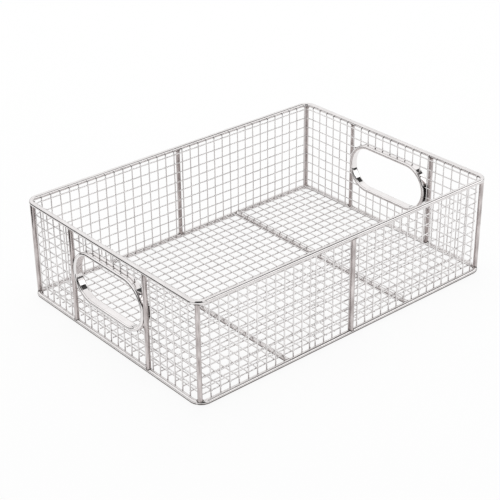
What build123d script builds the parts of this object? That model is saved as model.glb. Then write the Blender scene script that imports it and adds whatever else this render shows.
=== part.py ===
from build123d import *

import math
import os

# An autoclave basket: two rims of round rod held apart by posts, a floor on two bars, and walls
# of one band of wire mesh that is bent round the four corners and lapped on the front wall.
# Millimetres, +Z up, origin on the ground at the middle of the basket.
# Left and right are -X and +X, front and back are -Y and +Y.
# Rods and wires are drawn with flats and tight bends in short straight turns, because the mesh
# has some two hundred wires. Diameters are taken over the flats, where the wires touch.

# Frame of round rod
length = 350.0  # outside, over the rims
width = 250.0
height = 100.0
rim_diameter = 4.5
rim_corner_radius = 10.0  # of the rims' centre line
post_diameter = 4.2
floor_bar_diameter = 4.2
floor_bar_offset = 74.0  # from the middle to each floor bar
rod_flat_count = 12

# Grip rings, one in each end wall between two posts
grip_length = 103.5  # over the ring
grip_height = 51.2
grip_thickness = 4.0  # of the bar that is bent into the ring
grip_depth = 9.0
grip_edge = 1.2  # taken off the bar's long edges
grip_bend_steps = 16  # short straight turns that the bar takes round each end
grip_centre_height = 56.5

# Wire mesh of the walls
wire_diameter = 1.2
wire_flat_count = 6
mesh_pitch = 10.16  # between uprights, before they are spread evenly
hoop_count = 9
lowest_hoop_gap = 11.3  # from the bottom rim's centre line up to the lowest hoop
highest_hoop_gap = 3.4  # from the highest hoop up to the top rim's centre line
hoop_bend_steps = 3  # short straight turns that a hoop takes round each corner
upright_overlap = 1.0  # past the centre line of each rim

# Lap seam of the mesh band on the front wall
seam_position = -41.0  # the first upright of the band
seam_gap = 5.5  # from the last upright of the band to the first
front_tail = 4.5  # hoop ends that run back from the first upright
back_tail = 14.5  # hoop ends that run on behind, past the last upright
joggle_length = 3.0

# Wire mesh of the floor
floor_pitch = 10.0
floor_edge_gap = 0.4  # from the floor wires' ends to the wall band

# Worked out
rim_radius = rim_diameter / 2
post_radius = post_diameter / 2
floor_bar_radius = floor_bar_diameter / 2
wire_radius = wire_diameter / 2
wire_corner_radius = wire_radius / math.cos(math.pi / wire_flat_count)
rim_half_length = length / 2 - rim_radius
rim_half_width = width / 2 - rim_radius
bottom_rim_height = rim_radius
top_rim_height = height - rim_radius
floor_bar_top = bottom_rim_height + floor_bar_radius
straight_half_length = rim_half_length - rim_corner_radius
straight_half_width = rim_half_width - rim_corner_radius
corner_post_reach = rim_corner_radius / math.sqrt(2)  # past the rims' straight runs

# Layers, as distances in from the rims' centre line: uprights lie against the rims, hoops
# against the uprights, and the lapped edge of the band one wire further in.
upright_inset = rim_radius + wire_radius
hoop_inset = upright_inset + wire_diameter
lap_inset = hoop_inset + wire_diameter
band_inner_inset = hoop_inset + wire_radius

grip_post_offset = grip_length / 2 + post_radius
grip_outer_radius = grip_height / 2
grip_straight = grip_length - grip_height

# The mesh band runs along its own middle, from the first upright at the seam to the right, round
# the right end, the back and the left end, and back along the front to the last upright.
band_inset = upright_inset + wire_radius
band_bend_radius = rim_corner_radius - band_inset
band_bend_length = band_bend_radius * math.pi / 2
long_run = 2 * straight_half_length
short_run = 2 * straight_half_width
band_length = 2 * (long_run + short_run) + 4 * band_bend_length
upright_steps = round((band_length - seam_gap) / mesh_pitch)
upright_pitch = (band_length - seam_gap) / upright_steps

lowest_hoop_height = bottom_rim_height + lowest_hoop_gap
highest_hoop_height = top_rim_height - highest_hoop_gap
hoop_pitch = (highest_hoop_height - lowest_hoop_height) / (hoop_count - 1)


def flatted(radius, flats):
    """A round section drawn with flats, one of them square to the section's own Y."""
    return RegularPolygon(radius, flats, major_radius=False, rotation=180 / flats + 90)


def rod_between(start, end, up, radius, flats):
    """A straight rod or wire from one point to another, with a flat that faces up."""
    start = Vector(start)
    along = Vector(end) - start
    across = along.cross(Vector(up))
    section = Plane(origin=start, x_dir=across, z_dir=along) * flatted(radius, flats)
    return extrude(section, amount=along.length)


def rim(level):
    """A closed rim of round rod at one height."""
    outline = RectangleRounded(2 * rim_half_length, 2 * rim_half_width, rim_corner_radius)
    path = Pos(0, 0, level) * outline.wire()
    across = Plane(origin=path @ 0, x_dir=(0, 0, 1), z_dir=path % 0)
    return sweep(across * flatted(rim_radius, rod_flat_count), path)


def post(x, y, facing):
    """A post between the rims' centre lines, with a flat that faces the given way."""
    foot = (x, y, bottom_rim_height)
    head = (x, y, top_rim_height)
    return rod_between(foot, head, facing, post_radius, rod_flat_count)


def grip_outline(inset):
    """The long outline of a grip ring, some way in from its outside."""
    radius = grip_outer_radius - inset
    points = []
    for end in (1, -1):
        for step in range(grip_bend_steps + 1):
            angle = math.pi * step / grip_bend_steps
            along = grip_straight / 2 + radius * math.sin(angle)
            points.append((end * along, end * radius * math.cos(angle)))
    return Polygon(*points, align=None)


def grip_ring(end):
    """A bar with its edges taken off, bent into a long ring: end is -1 or 1."""
    outline = grip_outline(0) - grip_outline(grip_thickness)
    middle = (end * (length - grip_depth) / 2, 0, grip_centre_height)
    wall_plane = Plane(origin=middle, x_dir=(0, 1, 0), z_dir=(1, 0, 0))
    ring = extrude(wall_plane * outline, amount=grip_depth / 2, both=True)
    lips = ring.faces().sort_by(Axis.X)
    return chamfer(lips[0].edges() + lips[-1].edges(), grip_edge)


def grip_half_span(off_centre, across, straight):
    """Half the width of a grip ring's outline at some distance from its centre line."""
    into_bend = max(off_centre - straight, 0)
    return across + math.sqrt(grip_outer_radius**2 - into_bend**2)


def band_place(distance, inset):
    """The wall, the point and the way out of the basket, some way along the band."""
    along = distance + seam_position + straight_half_length
    walls = (("front", long_run), ("right", short_run), ("back", long_run), ("left", short_run))
    radius = rim_corner_radius - inset
    for quarter, (name, run) in enumerate(walls * 2):
        turned = Rot(0, 0, 90 * quarter)
        half_run = run / 2
        half_across = (short_run if run == long_run else long_run) / 2
        if along <= run:
            point = Pos(along - half_run, -half_across - radius)
            return name, (turned * point).position, (turned * Pos(0, -1)).position
        along -= run
        if along <= band_bend_length:
            angle = along / band_bend_radius
            out = Vector(math.sin(angle), -math.cos(angle))
            point = Pos(half_run + radius * out.X, -half_across + radius * out.Y)
            return name, (turned * point).position, (turned * Pos(out)).position
        along -= band_bend_length


def upright_foot(place):
    """The lower end of an upright: on a floor bar where one runs under it."""
    over_bar = abs(abs(place.X) - floor_bar_offset) < floor_bar_radius + wire_corner_radius
    if over_bar and abs(place.Y) > straight_half_width:
        return floor_bar_top
    return bottom_rim_height - upright_overlap


def upright_spans(place):
    """The heights between which an upright runs: one span, or two where a grip ring parts it."""
    low = upright_foot(place)
    high = top_rim_height + upright_overlap
    on_end_wall = abs(place.X) > straight_half_length
    near_side = abs(place.Y) - wire_corner_radius
    if not on_end_wall or near_side >= grip_length / 2:
        return [(low, high)]
    rise = grip_half_span(near_side, 0, grip_straight / 2)
    return [(low, grip_centre_height - rise), (grip_centre_height + rise, high)]


def wall_uprights():
    """The upright wires of the band, in a list for each wall."""
    walls = {"front": [], "right": [], "back": [], "left": []}
    for step in range(upright_steps + 1):
        inset = hoop_inset if step == upright_steps else upright_inset
        name, place, out = band_place(step * upright_pitch, inset)
        for low, high in upright_spans(place):
            foot = (place.X, place.Y, low)
            head = (place.X, place.Y, high)
            walls[name].append(rod_between(foot, head, out, wire_radius, wire_flat_count))
    return walls


def hoop_corner(end, side):
    """The points by which a hoop turns one corner, from the end wall round to the long wall."""
    turn = math.pi / 2 / hoop_bend_steps
    radius = rim_corner_radius - hoop_inset
    reach = radius / math.cos(turn / 2)
    points = []
    for step in range(hoop_bend_steps):
        angle = turn * (step + 1 / 2)
        x = straight_half_length + reach * math.cos(angle)
        y = straight_half_width + reach * math.sin(angle)
        points.append((end * x, side * y))
    return points


def hoop_lines(level):
    """The line of one hoop, from the seam round the basket: one line, or three between grips."""
    end_x = rim_half_length - hoop_inset
    front_y = hoop_inset - rim_half_width
    lap_y = lap_inset - rim_half_width
    last_upright = seam_position - seam_gap
    joggle_end = last_upright - upright_pitch / 2 + joggle_length / 2
    first = [(seam_position - front_tail, front_y)] + hoop_corner(1, -1)[::-1]
    middle = hoop_corner(1, 1) + hoop_corner(-1, 1)[::-1]
    last = hoop_corner(-1, -1)
    last += [(joggle_end - joggle_length, front_y), (joggle_end, lap_y)]
    last += [(last_upright + back_tail, lap_y)]
    near_edge = max(abs(level - grip_centre_height) - wire_corner_radius, 0)
    if near_edge >= grip_outer_radius:
        return [first + middle + last]
    cut = grip_half_span(near_edge, grip_straight / 2, 0)
    first.append((end_x, -cut))
    middle = [(end_x, cut)] + middle + [(-end_x, cut)]
    last.insert(0, (-end_x, -cut))
    return [first, middle, last]


def hoop(level):
    """One hoop wire, parted where it meets the grip rings."""
    wires = []
    for line in hoop_lines(level):
        path = Polyline(*[(x, y, level) for x, y in line])
        across = Plane(origin=path @ 0, x_dir=(0, 0, 1), z_dir=path % 0)
        section = across * flatted(wire_radius, wire_flat_count)
        wires.append(sweep(section, path, transition=Transition.RIGHT))
    return wires


def floor_half_run(offset, straight_across, straight_along):
    """Half the length of a floor wire, shorter where it runs beside a rounded corner."""
    radius = rim_corner_radius - band_inner_inset - floor_edge_gap
    into_corner = max(abs(offset) + wire_corner_radius - straight_across, 0)
    return straight_along + math.sqrt(radius**2 - into_corner**2)


def floor_offsets(half_width):
    """Where the floor wires lie, evenly to both sides of the middle."""
    room = half_width - band_inner_inset - floor_edge_gap - wire_corner_radius
    count = math.floor(room / floor_pitch + 1 / 2)
    return [side * (step + 1 / 2) * floor_pitch for step in range(count) for side in (-1, 1)]


def floor_wires_long():
    """The lower floor wires, which run from end to end over the bars."""
    level = floor_bar_top + wire_radius
    wires = []
    for y in floor_offsets(rim_half_width):
        half = floor_half_run(y, straight_half_width, straight_half_length)
        wires.append(rod_between((-half, y, level), (half, y, level), (0, 0, 1),
                                 wire_radius, wire_flat_count))
    return wires


def floor_wires_cross():
    """The upper floor wires, which run from front to back."""
    level = floor_bar_top + wire_diameter + wire_radius
    wires = []
    for x in floor_offsets(rim_half_length):
        half = floor_half_run(x, straight_half_length, straight_half_width)
        wires.append(rod_between((x, -half, level), (x, half, level), (0, 0, 1),
                                 wire_radius, wire_flat_count))
    return wires


def frame_pieces():
    """Rims, posts and floor bars, the posts and bars cut to seat on the rims."""
    bottom_rim = rim(bottom_rim_height)
    top_rim = rim(top_rim_height)
    pieces = {"bottom_rim": bottom_rim, "top_rim": top_rim}
    corner_x = straight_half_length + corner_post_reach
    corner_y = straight_half_width + corner_post_reach
    posts = {}
    for side_name, side in (("front", -1), ("back", 1)):
        posts[f"side_post_{side_name}"] = post(0, side * rim_half_width, (0, 1, 0))
        for end_name, end in (("left", -1), ("right", 1)):
            corner_post = post(end * corner_x, side * corner_y, (end, side, 0))
            grip_post = post(end * rim_half_length, side * grip_post_offset, (0, 1, 0))
            posts[f"corner_post_{side_name}_{end_name}"] = corner_post
            posts[f"grip_post_{end_name}_{side_name}"] = grip_post
    for name, uncut in posts.items():
        pieces[name] = uncut - bottom_rim - top_rim
    for end_name, end in (("left", -1), ("right", 1)):
        start = (end * floor_bar_offset, -rim_half_width, bottom_rim_height)
        finish = (end * floor_bar_offset, rim_half_width, bottom_rim_height)
        bar = rod_between(start, finish, (0, 0, 1), floor_bar_radius, rod_flat_count)
        pieces[f"floor_bar_{end_name}"] = bar - bottom_rim
    return pieces


def build():
    """Every piece of the basket, by the name of its node."""
    pieces = frame_pieces()
    pieces["grip_ring_left"] = grip_ring(-1)
    pieces["grip_ring_right"] = grip_ring(1)
    for name, wires in wall_uprights().items():
        pieces[f"uprights_{name}"] = Compound(children=wires)
    for step in range(hoop_count):
        wires = hoop(lowest_hoop_height + step * hoop_pitch)
        pieces[f"hoop_{step + 1}"] = Compound(children=wires)
    pieces["floor_wires_long"] = Compound(children=floor_wires_long())
    pieces["floor_wires_cross"] = Compound(children=floor_wires_cross())
    return pieces


os.makedirs("parts", exist_ok=True)
for name, piece in build().items():
    export_step(piece, f"parts/{name}.step")
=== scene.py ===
"""Looks of an autoclave basket: electropolished rods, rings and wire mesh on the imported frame.

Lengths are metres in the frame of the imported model. The origin is on the ground at the middle of
the basket, +X runs along its length, +Y to the back wall and +Z up.
"""

import logging
import math
from dataclasses import dataclass, field
from enum import Enum
from itertools import product

import bpy
import numpy as np
from mathutils import Euler, Matrix, Vector

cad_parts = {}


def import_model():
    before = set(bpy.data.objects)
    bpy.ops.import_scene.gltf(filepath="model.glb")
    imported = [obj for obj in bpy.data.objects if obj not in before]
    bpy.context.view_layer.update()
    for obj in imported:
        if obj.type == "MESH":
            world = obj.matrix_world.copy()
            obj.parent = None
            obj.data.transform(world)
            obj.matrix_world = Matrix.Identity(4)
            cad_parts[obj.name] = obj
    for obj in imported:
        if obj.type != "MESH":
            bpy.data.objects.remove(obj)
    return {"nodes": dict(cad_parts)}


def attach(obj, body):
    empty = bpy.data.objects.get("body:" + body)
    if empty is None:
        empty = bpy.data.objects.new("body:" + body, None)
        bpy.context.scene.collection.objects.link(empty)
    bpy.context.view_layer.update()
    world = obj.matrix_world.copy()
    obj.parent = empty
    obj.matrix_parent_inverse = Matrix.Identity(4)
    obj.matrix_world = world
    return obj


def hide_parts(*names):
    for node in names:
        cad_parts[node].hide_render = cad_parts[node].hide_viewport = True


LOG = logging.getLogger("basket")
BODY = "root"
TURN = 2 * math.pi
MM = 0.001
WALLS = 4
UP = np.array([0.0, 0.0, 1.0])
ENDS = (("left", -1), ("right", 1))
SIDES = (("front", -1), ("back", 1))

Triple = tuple[float, float, float]
Pair = tuple[float, float]


@dataclass(frozen=True)
class BasketSizes:
    """The basket's driving sizes and the lines that follow from them, in metres."""

    length: float = 0.350
    width: float = 0.250
    height: float = 0.100
    rim_radius: float = 0.00225
    rim_corner: float = 0.010
    post_radius: float = 0.0021
    floor_bar_offset: float = 0.074
    grip_length: float = 0.1035
    grip_height: float = 0.0512
    grip_thickness: float = 0.004
    grip_depth: float = 0.009
    grip_centre: float = 0.0565
    wire_radius: float = 0.0006
    mesh_pitch: float = 0.01016
    hoop_count: int = 9
    hoop_pitch: float = 0.0101
    lowest_hoop: float = 0.01355
    upright_overlap: float = 0.001
    seam_position: float = -0.041
    seam_gap: float = 0.0055
    front_tail: float = 0.0045
    back_tail: float = 0.0145
    joggle_length: float = 0.003
    floor_pitch: float = 0.010
    floor_gap: float = 0.0004
    wire_keep_out: float = 1.16  # of its radius: just past the corners of the solid wires

    @property
    def rim_x(self) -> float:
        """Distance of the end rods' centre line from the middle."""
        return self.length / 2 - self.rim_radius

    @property
    def rim_y(self) -> float:
        """Distance of the side rods' centre line from the middle."""
        return self.width / 2 - self.rim_radius

    @property
    def bottom_z(self) -> float:
        """Height of the bottom rim's centre line."""
        return self.rim_radius

    @property
    def top_z(self) -> float:
        """Height of the top rim's centre line."""
        return self.height - self.rim_radius

    @property
    def straight_x(self) -> float:
        """Half the straight run of a long side."""
        return self.rim_x - self.rim_corner

    @property
    def straight_y(self) -> float:
        """Half the straight run of an end."""
        return self.rim_y - self.rim_corner

    @property
    def upright_inset(self) -> float:
        """How far in from the rims' centre line the uprights touch the rims."""
        return self.rim_radius + self.wire_radius

    @property
    def hoop_inset(self) -> float:
        """How far in from the rims' centre line the hoops touch the uprights."""
        return self.upright_inset + 2 * self.wire_radius

    @property
    def lap_inset(self) -> float:
        """How far in the hoops' tails lie, behind the band's first edge."""
        return self.hoop_inset + 2 * self.wire_radius

    @property
    def band_inset(self) -> float:
        """How far in from the rims' centre line the middle of the mesh band lies."""
        return self.upright_inset + self.wire_radius

    @property
    def band_bend(self) -> float:
        """Bend radius of the mesh band's middle."""
        return self.rim_corner - self.band_inset

    @property
    def band_length(self) -> float:
        """Length round the middle of the band, with no seam."""
        runs = 4 * (self.straight_x + self.straight_y)
        return runs + TURN * self.band_bend

    @property
    def upright_steps(self) -> int:
        """How many meshes the band has round the basket."""
        return round((self.band_length - self.seam_gap) / self.mesh_pitch)

    @property
    def upright_pitch(self) -> float:
        """Even distance between uprights along the band."""
        return (self.band_length - self.seam_gap) / self.upright_steps

    @property
    def band_bend_length(self) -> float:
        """Length of the band's middle round one corner."""
        return self.band_bend * math.pi / 2

    @property
    def wire_reach(self) -> float:
        """Room that a wire takes to each side of its line."""
        return self.wire_keep_out * self.wire_radius

    @property
    def floor_bar_top(self) -> float:
        """Height of the floor bars' upper line, on which the floor mesh lies."""
        return self.bottom_z + self.post_radius

    @property
    def grip_straight(self) -> float:
        """Half the straight run of a grip ring."""
        return (self.grip_length - self.grip_height) / 2

    @property
    def grip_post_y(self) -> float:
        """Distance of the grip posts from the middle of an end."""
        return self.grip_length / 2 + self.post_radius

    def hoop_level(self, number: int) -> float:
        """Height of a hoop, counted from 0 at the lowest."""
        return self.lowest_hoop + number * self.hoop_pitch

    def grip_half_width(self, level: float) -> float:
        """Half the width of the grip rings' outline at a height.

        Args:
            level: Height above the ground.

        Returns:
            Half the width along Y, or 0 where the outline isn't reached.
        """
        off = max(abs(level - self.grip_centre) - self.wire_radius, 0.0)
        radius = self.grip_height / 2
        if off >= radius:
            return 0.0
        return self.grip_straight + math.sqrt(radius**2 - off**2)

    def grip_half_height(self, y: float) -> float:
        """Half the height of the grip rings' outline at a distance from its middle.

        Args:
            y: Distance along the end wall from the middle.

        Returns:
            Half the height along Z, or 0 where the outline isn't reached.
        """
        off = abs(y) - self.wire_radius
        if off >= self.grip_length / 2:
            return 0.0
        into_bend = max(off - self.grip_straight, 0.0)
        return math.sqrt((self.grip_height / 2) ** 2 - into_bend**2)


def smooth_step(low: float, high: float, value: np.ndarray) -> np.ndarray:
    """Goes smoothly from 0 at low to 1 at high.

    Args:
        low: Where the step starts.
        high: Where it ends.
        value: Places to work it out for.

    Returns:
        A number from 0 to 1 for each place.
    """
    share = np.clip((value - low) / (high - low), 0.0, 1.0)
    return share * share * (3 - 2 * share)


def round_section(radius: float, sides: int) -> np.ndarray:
    """A round section.

    Args:
        radius: Radius of the wire or rod.
        sides: Points round the section.

    Returns:
        Points as rows of distance along the sweep's normal and binormal.
    """
    angle = np.arange(sides) * TURN / sides
    return radius * np.stack([np.cos(angle), np.sin(angle)], axis=1)


def bar_section(thickness: float, depth: float, edge: float, steps: int = 5) -> np.ndarray:
    """A flat bar's section with rounded edges.

    Args:
        thickness: Size along the sweep's normal.
        depth: Size along the binormal.
        edge: Radius of the rounded edges.
        steps: Short turns at each edge.

    Returns:
        Points as rows of distance along the sweep's normal and binormal.
    """
    points = []
    flat_hold = 0.12 * MM  # a point just past each edge keeps the flats' shading flat
    for quarter, (u_side, v_side) in enumerate(((1, 1), (-1, 1), (-1, -1), (1, -1))):
        centre = np.array([u_side * (thickness / 2 - edge), v_side * (depth / 2 - edge)])
        turns = [TURN * (quarter * 0.25 + step * 0.25 / steps) for step in range(steps + 1)]
        ways = [np.array([math.cos(turn), math.sin(turn)]) for turn in turns]
        arc = [centre + edge * way for way in ways]
        before, after = ways[0][::-1] * (1, -1), ways[-1][::-1] * (-1, 1)
        points += [arc[0] + flat_hold * before, *arc, arc[-1] + flat_hold * after]
    return np.array(points)


@dataclass
class SweptMesh:
    """One piece's wires and rods, swept along their lines and gathered in one mesh."""

    name: str
    points: list[np.ndarray] = field(default_factory=list)
    faces: list[np.ndarray] = field(default_factory=list)
    uvs: list[np.ndarray] = field(default_factory=list)
    flat: list[np.ndarray] = field(default_factory=list)
    part: list[np.ndarray] = field(default_factory=list)
    count: int = 0
    runs: int = 0
    grain_shifts: Pair = (0.37, 0.11)  # along and round, from one wire's grain to the next
    blob_rings: int = 6
    blob_sides: int = 8
    blob_turn: float = 0.46  # of a half turn, from a weld nugget's middle to its last ring

    def sweep(
        self,
        path: np.ndarray,
        binormal: Triple,
        section: np.ndarray,
        closed: bool = False,
        scale: np.ndarray | None = None,
        end_edge: float = 0.0,
    ) -> None:
        """Sweeps a section along a line that lies in one plane.

        Args:
            path: Points of the line, as rows.
            binormal: Direction square to the line's plane.
            section: Points of the section, from round_section or bar_section.
            closed: Whether the line runs back to its start.
            scale: How much larger the section is at each point.
            end_edge: How far the edges of cut ends are rounded off.
        """
        path = np.asarray(path, float)
        scale = np.ones(len(path)) if scale is None else np.asarray(scale, float)
        if end_edge and not closed:
            path, scale = self._round_ends(path, scale, end_edge, np.abs(section).max())
        side = np.array(binormal, float)
        if closed:
            along = np.roll(path, -1, axis=0) - np.roll(path, 1, axis=0)
        else:
            along = np.gradient(path, axis=0)
        along /= np.linalg.norm(along, axis=1)[:, None]
        across = np.cross(side, along)
        across /= np.linalg.norm(across, axis=1)[:, None]
        rows, sides = len(path), len(section)
        ring = section[None, :, :] * scale[:, None, None]
        body = path[:, None, :] + ring[..., :1] * across[:, None, :] + ring[..., 1:] * side
        self._add_grid(body.reshape(rows, sides, 3), path, section, closed)

    def add_rows(
        self, rows: np.ndarray, path: np.ndarray, section: np.ndarray, welded: int
    ) -> None:
        """Adds a tube whose rings are worked out already.

        Args:
            rows: Rings of points, ring by ring.
            path: Middle of each ring, for its distance along the tube.
            section: Section that gives the distance round the tube.
            welded: How many spans at each end are weld and take the second finish.
        """
        self._add_grid(rows, path, section, False)
        spans = np.repeat(np.arange(len(rows) - 1), rows.shape[1])
        at_ends = (spans < welded) | (spans >= len(rows) - 1 - welded)
        self.part[-3] = at_ends.astype(np.int32)
        self.part[-2][:] = 1
        self.part[-1][:] = 1

    def blob(self, middle: np.ndarray, size: Triple, out: np.ndarray) -> None:
        """Adds a small rounded weld nugget.

        Args:
            middle: Middle of the nugget.
            size: Half sizes outwards, along the wall and upwards.
            out: Level direction out of the wall.
        """
        along = np.cross(UP, out)
        turn = np.linspace(-self.blob_turn, self.blob_turn, self.blob_rings) * math.pi
        angle = np.arange(self.blob_sides) * TURN / self.blob_sides
        wide = np.cos(turn)[:, None]
        rise = np.sin(turn)[:, None] * UP * size[2]
        rows = (
            middle
            + (wide * np.cos(angle))[..., None] * out * size[0]
            + (wide * np.sin(angle))[..., None] * along * size[1]
            + rise[:, None, :]
        )
        self._add_grid(rows, middle + rise, round_section(size[1], self.blob_sides), False)

    def _round_ends(
        self, path: np.ndarray, scale: np.ndarray, edge: float, reach: float
    ) -> tuple[np.ndarray, np.ndarray]:
        """Puts a narrower ring at each cut end, so that its edge catches the light.

        Args:
            path: Points of the line.
            scale: Section size at each point.
            edge: Length of the rounding.
            reach: Half width of the section.

        Returns:
            The line and sizes with the ends added.
        """
        first = path[0] - path[1]
        last = path[-1] - path[-2]
        head = path[0] - first / np.linalg.norm(first) * edge
        tail = path[-1] - last / np.linalg.norm(last) * edge
        shrink = 1 - edge / reach
        path = np.vstack([path[:1], head, path[1:-1], tail, path[-1:]])
        scale = np.concatenate(
            [[scale[0] * shrink], [scale[0]], scale[1:-1], [scale[-1]], [scale[-1] * shrink]]
        )
        return path, scale

    def _add_grid(
        self, rings: np.ndarray, path: np.ndarray, section: np.ndarray, closed: bool
    ) -> None:
        """Joins rings of points into a tube with caps, and lays its grain along it.

        Args:
            rings: Points, ring by ring.
            path: Middle of each ring.
            section: Section that gives the distance round the tube.
            closed: Whether the last ring joins the first.
        """
        rows, sides = rings.shape[:2]
        steps = np.linalg.norm(np.diff(path, axis=0, append=path[:1]), axis=1)
        reach = np.concatenate([[0.0], np.cumsum(steps)]) + self.grain_shifts[0] * self.runs
        round_steps = np.linalg.norm(np.diff(section, axis=0, append=section[:1]), axis=1)
        girth = np.concatenate([[0.0], np.cumsum(round_steps)]) + self.grain_shifts[1] * self.runs
        spans = rows if closed else rows - 1
        i = np.repeat(np.arange(spans), sides)
        j = np.tile(np.arange(sides), spans)
        i_next, j_next = (i + 1) % rows, (j + 1) % sides
        quads = np.stack(
            [i * sides + j, i * sides + j_next, i_next * sides + j_next, i_next * sides + j], axis=1
        )
        corner_u = np.stack([reach[i], reach[i], reach[i + 1], reach[i + 1]], axis=1)
        corner_v = np.stack([girth[j], girth[j + 1], girth[j + 1], girth[j]], axis=1)
        self.points.append(rings.reshape(-1, 3))
        self.faces.append(quads + self.count)
        self.uvs.append(np.stack([corner_u, corner_v], axis=2).reshape(-1, 2))
        self.flat.append(np.zeros(len(quads), bool))
        self.part.append(np.zeros(len(quads), np.int32))
        if not closed:
            self._cap(rings[0], 0, sides, True, reach[0])
            self._cap(rings[-1], (rows - 1) * sides, sides, False, reach[rows - 1])
        self.count += rows * sides
        self.runs += 1

    def _cap(
        self, ring: np.ndarray, first: int, sides: int, turned: bool, reach: float
    ) -> None:
        """Closes one end with a row of quads across its ring.

        Args:
            ring: Points of the end ring.
            first: Number of its first point within the tube.
            sides: Points in the ring.
            turned: Whether it is the start, which faces back.
            reach: Distance along the tube.
        """
        order = np.arange(sides)[:: -1 if turned else 1]
        steps = np.arange(sides // 2 - 1)
        quads = order[np.stack([steps, steps + 1, -steps - 2, -steps - 1], axis=1)]
        self.faces.append(quads + first + self.count)
        spread = np.linalg.norm(ring - ring.mean(axis=0), axis=1)
        uv = np.stack([reach + 0 * spread[quads], spread[quads]], axis=2)
        self.uvs.append(uv.reshape(-1, 2))
        self.flat.append(np.ones(len(quads), bool))
        self.part.append(np.zeros(len(quads), np.int32))

    def make(self, *materials: bpy.types.Material) -> bpy.types.Object:
        """Makes the Blender object.

        Args:
            materials: Finish of the piece, and that of its welds where it has them.

        Returns:
            The object, linked to the scene.
        """
        points, faces = np.concatenate(self.points), np.concatenate(self.faces)
        uvs, flat = np.concatenate(self.uvs), np.concatenate(self.flat)
        mesh = bpy.data.meshes.new(self.name)
        mesh.vertices.add(len(points))
        mesh.vertices.foreach_set("co", points.astype(np.float32).ravel())
        mesh.loops.add(faces.size)
        mesh.loops.foreach_set("vertex_index", faces.astype(np.int32).ravel())
        mesh.polygons.add(len(faces))
        mesh.polygons.foreach_set("loop_start", np.arange(0, faces.size, 4, dtype=np.int32))
        mesh.polygons.foreach_set("use_smooth", ~flat)
        mesh.polygons.foreach_set("material_index", np.concatenate(self.part))
        layer = mesh.uv_layers.new(name="Grain")
        layer.data.foreach_set("uv", uvs.astype(np.float32).ravel())
        mesh.update(calc_edges=True)
        mesh.validate()
        for material in materials:
            mesh.materials.append(material)
        piece = bpy.data.objects.new(self.name, mesh)
        bpy.context.scene.collection.objects.link(piece)
        return piece


class Slot(Enum):
    """The record's material slots."""

    ROD = "frame_rod"
    GRIP = "grip_bar"
    MESH = "mesh_wire"


def add_node(
    tree: bpy.types.NodeTree,
    kind: str,
    inputs: dict[str | int, bpy.types.NodeSocket | float | tuple[float, ...]],
    **settings: str | bool,
) -> bpy.types.Node:
    """Adds a shader node.

    Args:
        tree: Tree that it goes into.
        kind: Blender's name of the node, after ShaderNode.
        inputs: The output that each input is linked to, or the value that it holds.
        **settings: The node's own settings, such as its operation.

    Returns:
        The node.
    """
    node = tree.nodes.new(f"ShaderNode{kind}")
    for name, value in settings.items():
        setattr(node, name, value)
    for key, value in inputs.items():
        if isinstance(value, bpy.types.NodeSocket):
            tree.links.new(value, node.inputs[key])
        else:
            node.inputs[key].default_value = value
    return node


def combine(
    tree: bpy.types.NodeTree,
    operation: str,
    first: bpy.types.NodeSocket,
    second: bpy.types.NodeSocket | float,
) -> bpy.types.NodeSocket:
    """Works out one value from two.

    Args:
        tree: Tree that the math node goes into.
        operation: Blender's name of the operation.
        first: First value.
        second: Second value.

    Returns:
        The result.
    """
    return add_node(tree, "Math", {0: first, 1: second}, operation=operation).outputs[0]


def object_place(tree: bpy.types.NodeTree) -> bpy.types.bpy_prop_collection:
    """The X, Y and Z of a surface's place in its own object."""
    spot = add_node(tree, "TexCoord", {}).outputs["Object"]
    return add_node(tree, "SeparateXYZ", {0: spot}).outputs


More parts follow.
